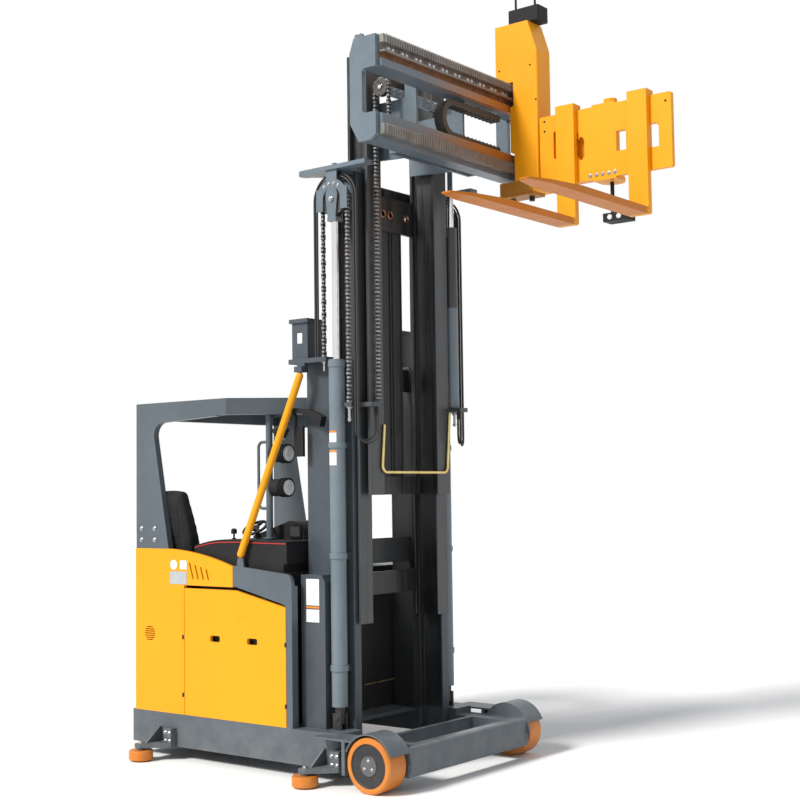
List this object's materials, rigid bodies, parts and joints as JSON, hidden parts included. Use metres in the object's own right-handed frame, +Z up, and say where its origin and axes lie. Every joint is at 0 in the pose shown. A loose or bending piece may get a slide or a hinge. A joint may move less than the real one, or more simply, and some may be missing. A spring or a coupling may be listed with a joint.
{
  "type": "turret truck",
  "caption": "Man-down turret truck with a three-stage mast, a traverse head with turning forks, a side-seated cab and guide rollers.",
  "frame": {"origin": "on the floor, midway between the rear face and the front of the swung fork plate and on the truck's centre line", "axes": "+X forward from the rear housing to the load wheels, +Y to the operator's entry side, +Z up"},
  "size_m": [3.22, 1.726, 4.685],
  "materials": {
    "paint": "satin",
    "yellow_paint": "satin",
    "dark_paint": "satin",
    "machined_rail": "satin",
    "rail_paint": "satin",
    "hose_rubber": "matte",
    "chrome": "polished",
    "chain_steel": "satin",
    "zinc": "satin",
    "orange_tread": "satin",
    "black_plastic": "matte",
    "seat_cloth": "matte"
  },
  "bodies": {
    "chassis": {"base_frame": "paint", "guide_brackets": "paint", "rear_housing": "yellow_paint", "battery_cover_right": "yellow_paint", "battery_cover_left": "yellow_paint", "battery": "dark_paint", "cab_shell": "paint", "console": "black_plastic", "steering_wheel": "black_plastic", "lever_knob": "black_plastic", "display": "black_plastic", "seat_base": "dark_paint", "seat_cushion": "seat_cloth", "seat_back": "seat_cloth", "overhead_guard": "paint", "work_lamps": "black_plastic", "mirrors": "black_plastic", "outer_mast": "paint", "mast_stays": "yellow_paint", "lift_barrels": "paint"},
    "right_load_wheel": {"load_wheel_right": "orange_tread"},
    "left_load_wheel": {"load_wheel_left": "orange_tread"},
    "roller_rear_right": {"guide_roller_rear_right": "orange_tread"},
    "roller_rear_left": {"guide_roller_rear_left": "orange_tread"},
    "roller_front_right": {"guide_roller_front_right": "orange_tread"},
    "roller_front_left": {"guide_roller_front_left": "orange_tread"},
    "drive": {"drive_unit": "dark_paint"},
    "drive_tyre": {"drive_wheel": "orange_tread"},
    "mid_stage": {"mid_mast": "rail_paint", "top_plates": "paint", "sheave_yokes": "paint", "lift_rods": "chrome", "sheaves": "chain_steel", "chain_arcs": "chain_steel", "rear_chains": "chain_steel", "hose_arcs": "hose_rubber", "rear_hoses": "hose_rubber"},
    "inner_stage": {"inner_mast": "rail_paint", "guide_strips": "black_plastic", "mast_pipe": "zinc", "free_barrel": "paint", "front_chains": "chain_steel", "front_hoses": "hose_rubber", "hose_loops": "hose_rubber"},
    "free_lift": {"free_rod": "chrome", "free_sheave": "chain_steel", "free_chain_arc": "chain_steel", "free_chain_rear": "chain_steel"},
    "carriage": {"traverse_frame": "paint", "traverse_racks": "machined_rail", "energy_chain": "black_plastic", "free_chain_front": "chain_steel"},
    "head": {"turret_head": "yellow_paint", "head_box": "black_plastic"},
    "turret": {"fork_carriage": "yellow_paint", "under_lamp": "black_plastic", "fork_rear": "yellow_paint", "fork_front": "yellow_paint"}
  },
  "joints": [
    {"name": "right_wheel_turn", "type": "hinge", "parent": "chassis", "child": "right_load_wheel", "pos_m": [0.38, -0.67, 0.15], "axis": [0, 1, 0], "continuous": true},
    {"name": "left_wheel_turn", "type": "hinge", "parent": "chassis", "child": "left_load_wheel", "pos_m": [0.38, 0.67, 0.15], "axis": [0, 1, 0], "continuous": true},
    {"name": "drive_steer", "type": "hinge", "parent": "chassis", "child": "drive", "pos_m": [-1.32, 0, 0.17], "axis": [0, 0, 1], "range_deg": [-90, 90]},
    {"name": "drive_wheel_turn", "type": "hinge", "parent": "drive", "child": "drive_tyre", "pos_m": [-1.32, 0, 0.17], "axis": [0, 1, 0], "continuous": true},
    {"name": "mid_slide", "type": "slide", "parent": "chassis", "child": "mid_stage", "axis": [0, 0, 1], "range_m": [-0.63, 0.95], "deforming": ["rear_chains", "rear_hoses"]},
    {"name": "inner_slide", "type": "slide", "parent": "mid_stage", "child": "inner_stage", "axis": [0, 0, 1], "range_m": [-0.63, 0.95], "deforming": ["front_chains", "front_hoses"]},
    {"name": "free_slide", "type": "slide", "parent": "inner_stage", "child": "free_lift", "axis": [0, 0, 1], "range_m": [-0.905, 0], "deforming": ["free_chain_rear"]},
    {"name": "carriage_slide", "type": "slide", "parent": "free_lift", "child": "carriage", "axis": [0, 0, 1], "range_m": [-0.905, 0], "deforming": ["free_chain_front"]},
    {"name": "traverse_slide", "type": "slide", "parent": "carriage", "child": "head", "axis": [0, 1, 0], "range_m": [-1.26, 0]},
    {"name": "turret_turn", "type": "hinge", "parent": "head", "child": "turret", "pos_m": [1.17, 0.63, 3.65], "axis": [0, 0, 1], "range_deg": [0, 180]},
    {"name": "roller_rear_right_turn", "type": "hinge", "parent": "chassis", "child": "roller_rear_right", "pos_m": [-1.37, -0.79, 0.037], "axis": [0, 0, 1], "continuous": true},
    {"name": "roller_rear_left_turn", "type": "hinge", "parent": "chassis", "child": "roller_rear_left", "pos_m": [-1.37, 0.79, 0.037], "axis": [0, 0, 1], "continuous": true},
    {"name": "roller_front_right_turn", "type": "hinge", "parent": "chassis", "child": "roller_front_right", "pos_m": [-0.03, -0.79, 0.037], "axis": [0, 0, 1], "continuous": true},
    {"name": "roller_front_left_turn", "type": "hinge", "parent": "chassis", "child": "roller_front_left", "pos_m": [-0.03, 0.79, 0.037], "axis": [0, 0, 1], "continuous": true}
  ],
  "couplings": [
    {"joint": "inner_slide", "follows": "mid_slide", "ratio": 1},
    {"joint": "carriage_slide", "follows": "free_slide", "ratio": 1}
  ]
}
